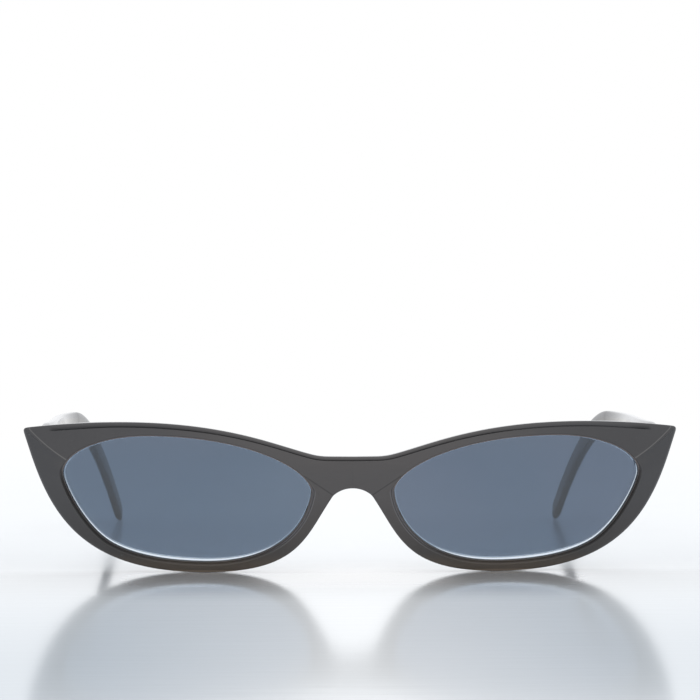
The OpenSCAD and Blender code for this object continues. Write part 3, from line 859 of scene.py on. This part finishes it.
def coats(tree, colour, layers):
    """Lays colours over one another, each with its own share."""
    for share, coat in layers:
        colour = blend_colour(tree, share, colour, coat)
    return colour


def stretch(tree, spot, x, y, z):
    """A place with its axes multiplied; the larger the number, the finer a pattern is along it."""
    return add(tree, "ShaderNodeVectorMath", {"operation": "MULTIPLY"}, {0: spot, 1: (x, y, z)})


def stored(tree, name):
    """A value stored on the points of a mesh; 0 on meshes that don't have it."""
    settings = {"attribute_type": "GEOMETRY", "attribute_name": name}
    return add(tree, "ShaderNodeAttribute", settings, None, "Fac")


def bump(tree, height, strength, distance):
    keys = {"Height": height, "Strength": strength, "Distance": distance}
    return add(tree, "ShaderNodeBump", None, keys)


def dust(tree, spot, spacing, keep, radius):
    """1 on small grains set about spacing apart, of which a share keep is there."""
    keys = {"Vector": spot, "Scale": 1 / spacing}
    distance, lots = add(tree, "ShaderNodeTexVoronoi", {"feature": "F1"}, keys, ("Distance", "Color"))
    red, green = add(tree, "ShaderNodeSeparateColor", None, {"Color": lots}, ("Red", "Green"))
    size_of = (0.4 + green) * (radius / spacing)
    return red.op("LESS_THAN", keep) * distance.op("LESS_THAN", size_of)


print("patterns at hand: noise, dust, stored values, bumps and coats of colour")

# %% [markdown]
# ### Charcoal plastic
# The front and temples are moulded charcoal plastic with a high polish. One flat dark grey would look
# like paint. Close up the real one is slightly cloudy, with a faint ripple, hairline wear and a few
# grains of dust. Painted light makes it lighter at the bridge, painted shade darkens the lower rim and
# a painted warm light lies at its very bottom near the table, and a clear coat lights the top of the
# temples. Painted shade darkens the cut line, the valley and the outer lip, and painted highlights
# lighten the ridge, the edge, the bead round the lens and a line beside the nose.

# %% Charcoal plastic
plastic, tree = new_finish("charcoal_plastic")
spot = object_spot(tree)
sideways, backward, upward_z = axes(tree, spot)
off_middle = sideways.unsigned()

cloud = noise(tree, spot, 60, 4, 0.55)
fine = noise(tree, spot, 900, 3, 0.6)
hair = noise(tree, stretch(tree, spot, 60, 900, 900), 3, 2, 0.5)
cross_hair = noise(tree, stretch(tree, spot, 1100, 700, 90), 3, 2, 0.5)
wear = smooth(hair, 0.62, 0.72) + smooth(cross_hair, 0.64, 0.74)
grain = dust(tree, spot, 0.006, 0.16, 0.00011)
# Painted light at the bridge, painted shade on the lower rim, and a painted warm light at its very bottom
# near the table
painted_bridge_light = 1 - smooth(off_middle, 0.018, 0.052)
lower = 1 - smooth(upward_z, 0.002, 0.017)
lowest = 1 - smooth(upward_z, 0.001, 0.0045)
# Painted shade in the cut line under the brow: weaker on a stretch of the right side, stronger towards the
# tips
weaker_cut_shade = 0.85 * smooth(sideways, 0.026, 0.038) * (1 - smooth(sideways, 0.057, 0.061))
painted_cut_shade = (1 - weaker_cut_shade) * (0.62 + 0.22 * smooth(off_middle, 0.045, 0.06))

body = blend_colour(tree, smooth(cloud, 0.3, 0.7), (0.051, 0.050, 0.053), (0.0575, 0.056, 0.0588))
# Over the cloudy body: painted light and shade from above, real wear, a painted highlight on the ridge,
# painted shade in the valley and on the outer lip, painted highlights on the lip, beside the nose and on the
# edge, painted shade in the cut line, and real dust
body = coats(tree, body, [
    (painted_bridge_light, (0.0735, 0.0685, 0.069)),
    (lower * 0.9, (0.0485, 0.0435, 0.041)),
    (lowest, (0.088, 0.069, 0.053)),
    (wear * 0.2, (0.08, 0.078, 0.078)),
    (stored(tree, "ridge") * 0.8, (0.16, 0.156, 0.152)),
    (stored(tree, "valley") * 0.6, (0.012, 0.012, 0.012)),
    (stored(tree, "lip"), (0.01, 0.01, 0.01)),
    (stored(tree, "lip_highlight"), (0.27, 0.21, 0.19)),
    (stored(tree, "nose_highlight") * 0.8, (0.15, 0.15, 0.165)),
    (stored(tree, "rim_edge") * 0.8, (0.12, 0.12, 0.132)),
    (stored(tree, "groove") * painted_cut_shade, (0.006, 0.006, 0.006)),
    (grain * 0.7, (0.5, 0.5, 0.5)),
])
ripple = noise(tree, spot, 160, 2, 0.4) * 0.8 + fine * 0.06 - wear * 0.05 + grain * 0.6
behind_front = smooth(backward, -0.056, -0.05) * (1 - smooth(backward, -0.01, 0.05))
surface(tree, principled(tree, {
    "Base Color": body,
    "Roughness": 0.1 + 0.04 * smooth(fine, 0.35, 0.65) + 0.1 * wear + 0.3 * grain,
    "Normal": bump(tree, ripple, 0.12, 0.00008),
    "IOR": 1.49,
    "Coat Weight": behind_front * smooth(upward_z, 0.02, 0.03),
    "Coat Roughness": 0.1,
    "Coat IOR": 1.55,
}))
print("charcoal plastic:", len(tree.nodes), "nodes")

# %% [markdown]
# ### Smoke lenses
# The real lenses are grey-blue and their bevel is clear. Glass coloured all through would make the bevel
# dark, so the tint lies on the field only. Near the lower rim the tint grows a little lighter, a painted
# light against the shadow on the table seen through the lens. Light must shine through the lenses onto
# the table, so shadow rays see a plain transparent tint, not glass.

# %% Smoke lens
tinted, tree = new_finish("smoke_lens")
spot = object_spot(tree)
_, _, lens_z = axes(tree, spot)
patch = noise(tree, spot, 22, 2, 0.5)
fleck = dust(tree, spot, 0.007, 0.12, 0.00007)
swirl = noise(tree, stretch(tree, spot, 500, 500, 120), 2, 2, 0.5)
tint = blend_colour(tree, smooth(patch, 0.35, 0.7), (0.083, 0.125, 0.186), (0.090, 0.125, 0.186))
tint = coats(tree, tint, [
    # Painted light: the tint is lighter towards the bottom, against the shadow on the table seen through the
    # lens
    (1 - smooth(lens_z, 0.0, 0.011), (0.112, 0.157, 0.222)),
    (stored(tree, "clear"), (0.8, 0.88, 0.97)),
    (fleck * 0.6, (0.5, 0.5, 0.5)),
])
glass = principled(tree, {
    "Base Color": tint,
    "Roughness": 0.008 * smooth(swirl, 0.55, 0.7) + 0.3 * fleck,
    "Normal": bump(tree, noise(tree, spot, 45, 1, 0.3), 0.03, 0.0001),
    "Transmission Weight": 1.0,
    "Coat Weight": 1.0,
    "Coat Roughness": 0.0,
    "IOR": 1.5,
})
shadow_ray = add(tree, "ShaderNodeLightPath", None, None, "Is Shadow Ray")
clear_way = add(tree, "ShaderNodeBsdfTransparent", None, {"Color": (0.34, 0.39, 0.45, 1)})
surface(tree, add(tree, "ShaderNodeMixShader", None, {0: shadow_ray, 1: glass, 2: clear_way}))
print("smoke lens:", len(tree.nodes), "nodes")

# %% [markdown]
# ### Metals of the hinges
# The leaves and barrels are plated nickel silver with fine brushing, the screws are brighter steel with
# turning marks, and the core wires are plain drawn steel. Three separate trees would say the same thing
# three times, so one function makes them all: noise stretched along the tool's way gives the lines.

# %% Hinge, screw and wire metal
def metal(name, light, dark, brush, rough, pits):
    """Metal in two tones, with lines stretched by brush, a lowest roughness and a share of pits."""
    material, tree = new_finish(name)
    spot = object_spot(tree)
    lines = noise(tree, stretch(tree, spot, *brush), 2, 4, 0.6)
    stain = noise(tree, spot, 350, 3, 0.5)
    pit = dust(tree, spot, 0.0011, pits, 0.00005)
    colour = blend_colour(tree, smooth(stain, 0.3, 0.75), light, dark)
    surface(tree, principled(tree, {
        "Base Color": blend_colour(tree, pit * 0.7, colour, (0.1, 0.09, 0.08)),
        "Roughness": rough + 0.16 * smooth(lines, 0.35, 0.65) + 0.2 * pit,
        "Normal": bump(tree, lines - pit, 0.15, 0.00002),
        "Metallic": 1.0,
    }))
    return material


# the end of a node's name, and its metal
METALS = {
    "_hinge": metal("nickel_silver", (0.62, 0.6, 0.56), (0.5, 0.48, 0.43), (900, 900, 9000), 0.24, 0.2),
    "_screw": metal("screw_steel", (0.68, 0.68, 0.7), (0.55, 0.55, 0.56), (7000, 7000, 500), 0.2, 0.1),
    "_wire": metal("drawn_wire", (0.6, 0.6, 0.6), (0.5, 0.5, 0.49), (8000, 400, 8000), 0.3, 0.1),
}
for name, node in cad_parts.items():
    for ending, material in METALS.items():
        if not name.endswith(ending):
            continue
        if not node.material_slots:
            node.data.materials.append(material)
        for material_slot in node.material_slots:
            material_slot.material = material
        print(name, "->", material.name)

# %% [markdown]
# ## Put the pieces in place
# On the real pair the temples turn on their hinges, and the lenses sit fixed in the front. So each skin
# stands for the solid it refines and moves with that solid's body. The two sides could be built one by
# one, but the left is simply the right with its x turned round.

# %% Front, lenses and temples
def new_piece(name, mesh, material, body, slot_name, *nodes):
    """An object for a mesh, with its finish, its body and the solids it stands for."""
    piece = bpy.data.objects.new(name, mesh)
    scene.collection.objects.link(piece)
    mesh.materials.clear()
    mesh.materials.append(material)
    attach(piece, body)
    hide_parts(*nodes)
    print(name, "rides on", body)


new_piece("front_shell", front_mesh, plastic, "front", "frame_plastic", "front_frame")
for side_name, side in (("left", -1.0), ("right", 1.0)):
    glass_name, arm_name = side_name + "_lens_glass", side_name + "_temple_shell"
    lens = make_mesh(glass_name, metres(lens_points) * [side, 1, 1], lens_faces, {"clear": clear})
    new_piece(glass_name, lens, tinted, "front", "lens_tint", side_name + "_lens")
    arm = temple_mesh(arm_name, side, plastic)
    new_piece(arm_name, arm, plastic, side_name + "_arm", "frame_plastic", side_name + "_temple")

# %% [markdown]
# ## Table
# The sunglasses stand on a glossy white table that mirrors them softly. A plain white plane would show
# its far edge and a hard mirror image. So the table melts into white emission far away, and its gloss
# changes with the distance from the front. Its colour carries painted shade and light: darker towards
# the camera, lighter in the middle and behind the front, and a painted contact shadow right under the
# front. A clear coat strengthens the mirror image right under the front, less so at its sides. A patch
# between the eyes is partly emission, a painted light which weakens the shadow there.

# %% The table
TABLE_SIZE, TABLE_Y, TABLE_Z, TO_FRONT = 12, 3.0, -0.00002, 0.068
bpy.ops.mesh.primitive_plane_add(size=TABLE_SIZE, location=(0, TABLE_Y, TABLE_Z))
table = bpy.context.object
table.name = "table"
table_finish, tree = new_finish("glossy_table")
spot = object_spot(tree)
table_x, table_y, _ = axes(tree, spot)
depth_at, off_middle = table_y + TABLE_Y, table_x.unsigned()

away = (depth_at * depth_at + off_middle * off_middle) ** 0.5
far = smooth(depth_at, -0.09, 0.6).at_least(smooth(away, 0.3, 1.0))
near = 1 - smooth(depth_at, -0.2, -0.062)
behind = smooth(depth_at, -0.066, -0.03)
under_front = (1 - smooth(depth_at, -0.067, -0.054)) * smooth(depth_at, -0.112, -0.074)
at_sides = smooth(off_middle, 0.04, 0.053)
from_front = (depth_at + TO_FRONT).unsigned()
by_nose = (1 - smooth(off_middle, 0.0, 0.026)) * (1 - smooth(from_front, 0.0, 0.03))
speck = dust(tree, spot, 0.016, 0.2, 0.00022)
streaks = noise(tree, stretch(tree, spot, 40, 350, 1), 1, 3, 0.6)

# Painted shade darker towards the camera, painted light in the middle and behind the front, a painted contact
# shadow under the front, and real specks
base = blend_colour(tree, near, (0.79, 0.835, 0.88), (0.59, 0.655, 0.72))
base = coats(tree, base, [
    ((1 - smooth(off_middle, 0.0, 0.06)) * 0.9, (0.92, 0.95, 0.98)),
    (under_front * 0.17, (0.35, 0.37, 0.4)),
    (smooth(depth_at, -0.07, 0.04) * 0.45, (0.88, 0.925, 0.965)),
    (speck, (0.95, 0.95, 0.93)),
])
gloss = 0.085 + 0.035 * near + 0.11 * behind + 0.02 * noise(tree, spot, 30, 2) + 0.5 * speck
glossy = principled(tree, {
    "Base Color": base,
    "Roughness": gloss,
    "IOR": 1.5,
    "Normal": bump(tree, streaks, 1.0, 0.00002),
    "Coat Weight": 0.04 + 0.96 * under_front * (1 - 0.65 * at_sides),
    "Coat Roughness": 0.085,
})
white = add(tree, "ShaderNodeEmission", None, {"Color": (1.0, 1.0, 1.0, 1), "Strength": 1.0})
# White emission far away as backdrop, and a painted glow between the eyes that weakens the shadow there
backdrop_and_painted_glow = far.at_least(by_nose * 0.45)
surface(tree, add(tree, "ShaderNodeMixShader", None, {0: backdrop_and_painted_glow, 1: glossy, 2: white}))
table.data.materials.append(table_finish)
table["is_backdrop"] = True
print("table:", TABLE_SIZE, "m wide,", len(tree.nodes), "nodes")

# %% [markdown]
# ## White surroundings and light
# The pair is lit evenly from all sides, as in a light tent. Many soft lamps could do that, but a world
# of even light does it alone. The camera sees it as plain white, also through the lenses, and mirror
# images see it a little cooler. One weak area lamp above and behind adds a little light from there.

# %% World and lamp
RAYS = ("Is Camera Ray", "Is Glossy Ray", "Is Transmission Ray")
LAMP_PLACE, LAMP_AIM, LAMP_SIZE, LAMP_WATTS = (0, 0.7, 1.2), (0, 0, 0), (2.5, 1.2), 5.0
world = bpy.data.worlds.new("white_surroundings")
scene.world = world
world.use_nodes = True
sky = world.node_tree
is_camera, is_glossy, is_through = add(sky, "ShaderNodeLightPath", None, None, RAYS)
glow = blend_colour(sky, is_glossy, (0.97, 0.97, 0.97), (0.97, 0.98, 1.0))
glow = blend_colour(sky, is_camera.at_least(is_through), glow, (1.0, 1.0, 1.0))
background = sky.nodes["Background"]
put(sky, background.inputs["Color"], glow)
put(sky, background.inputs["Strength"], 1.0)

lamp = bpy.data.lights.new("back_light", "AREA")
lamp.shape, lamp.energy = "RECTANGLE", LAMP_WATTS
lamp.size, lamp.size_y = LAMP_SIZE
back_light = bpy.data.objects.new("back_light", lamp)
scene.collection.objects.link(back_light)
back_light.location = LAMP_PLACE
back_light.rotation_euler = (Vector(LAMP_AIM) - Vector(LAMP_PLACE)).to_track_quat("-Z", "Y").to_euler()
back_light.visible_camera = False
back_light.visible_transmission = False
back_light.visible_glossy = False
print("lamp of", LAMP_WATTS, "watts at", LAMP_PLACE)

# %% [markdown]
# ## Camera
# The picture is taken from 40 cm in front and 4.6 cm above the table, nearly level, with a long lens.
# The sunglasses look turned by less than two degrees. They could be turned themselves, but their place
# in the shared frame is fixed, so the camera goes round them instead.

# %% The camera
AWAY, EYE_H, SIDEWAYS = 400.0, 46.07, 0.57
YAW, PITCH, ROLL = [math.radians(angle) for angle in (1.7, 90.018, -0.09)]
FOCAL_PIXELS, PICTURE_PIXELS, SENSOR = 1945.9, 700, 36
camera_data = bpy.data.cameras.new("camera")
camera = bpy.data.objects.new("camera", camera_data)
scene.collection.objects.link(camera)
scene.camera = camera
camera_data.sensor_width = SENSOR
camera_data.sensor_fit = "HORIZONTAL"
camera_data.lens = FOCAL_PIXELS / PICTURE_PIXELS * SENSOR
camera_data.clip_start, camera_data.clip_end = 0.01, 50
eye = (
    -SIDEWAYS * math.cos(YAW) - AWAY * math.sin(YAW),
    SIDEWAYS * math.sin(YAW) - AWAY * math.cos(YAW) + SHIFT_Y,
    EYE_H,
)
turn_z, turn_x = Matrix.Rotation(-YAW, 4, "Z"), Matrix.Rotation(PITCH, 4, "X")
roll = Matrix.Rotation(ROLL, 4, "Z")
camera.matrix_world = Matrix.Translation(Vector(eye) / MM_PER_M) @ turn_z @ turn_x @ roll
scene.view_settings.view_transform = "Standard"
print("camera at", [round(v, 2) for v in eye], "mm, lens", round(camera_data.lens, 2), "mm")

# %% [markdown]
# ## Sizes
# The finished object is meant to be as big as the imported one. Its box is printed beside the box of
# the packed solids.

# %% Sizes and the end
skin_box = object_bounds()
sizes = {"solid": [list(map(float, c)) for c in solid_box], "visual": [list(map(float, c)) for c in skin_box]}
for name, box in sizes.items():
    print(name, [round((b - a) * 1000, 2) for a, b in zip(*box)])
